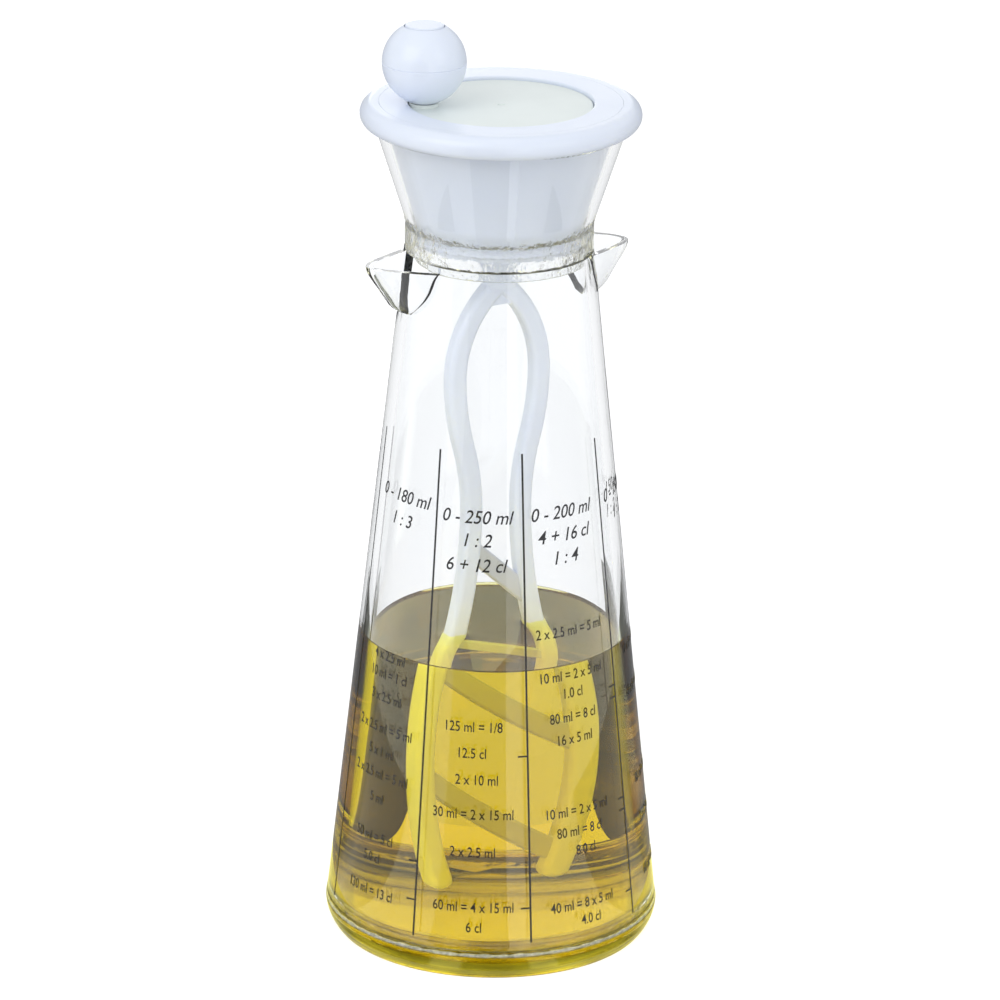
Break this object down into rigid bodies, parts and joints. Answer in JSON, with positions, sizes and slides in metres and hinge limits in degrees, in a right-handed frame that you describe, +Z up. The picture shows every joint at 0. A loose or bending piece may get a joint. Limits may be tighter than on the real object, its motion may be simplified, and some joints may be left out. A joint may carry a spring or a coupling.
{
  "type": "salad dressing shaker bottle",
  "caption": "Clear tapered dressing bottle with pouring spouts and a plug lid whose crank disc and ball knob spin a whisk inside.",
  "frame": {"origin": "centre of the base's foot, on the table", "axes": "+Z up along the bottle's axis, X through the two spouts, the taller-set spout towards +X"},
  "size_m": [0.0782, 0.0782, 0.2183],
  "materials": {
    "clear_plastic": "clear polished plastic",
    "white_plastic": "glossy bluish white",
    "disc_plastic": "satin greyish white",
    "print_ink": "black screen print",
    "dressing": "clear yellow oil",
    "silicone": "matt, slightly see-through"
  },
  "bodies": {
    "bottle": {"bottle_body": "clear_plastic", "bottle_base": "clear_plastic", "neck_collar": "clear_plastic"},
    "lid": {"lid_plug": "white_plastic", "bezel_ring": "white_plastic", "plug_seal": "silicone", "shaft_seal": "silicone"},
    "crank": {"turntable": "disc_plastic", "drive_shaft": "white_plastic", "whisk": "white_plastic", "knob_pin": "white_plastic"},
    "knob": {"knob_lower_half": "white_plastic", "knob_upper_half": "white_plastic"}
  },
  "joints": [
    {"name": "lid_lift", "type": "slide", "parent": "bottle", "child": "lid", "axis": [0, 0, 1], "range_m": [0, 0.19]},
    {"name": "crank_spin", "type": "hinge", "parent": "lid", "child": "crank", "pos_m": [0, 0, 0.2], "axis": [0, 0, 1], "continuous": true},
    {"name": "knob_spin", "type": "hinge", "parent": "crank", "child": "knob", "pos_m": [-0.01698, 0.00423, 0.2095], "axis": [0, 0, 1], "continuous": true}
  ]
}
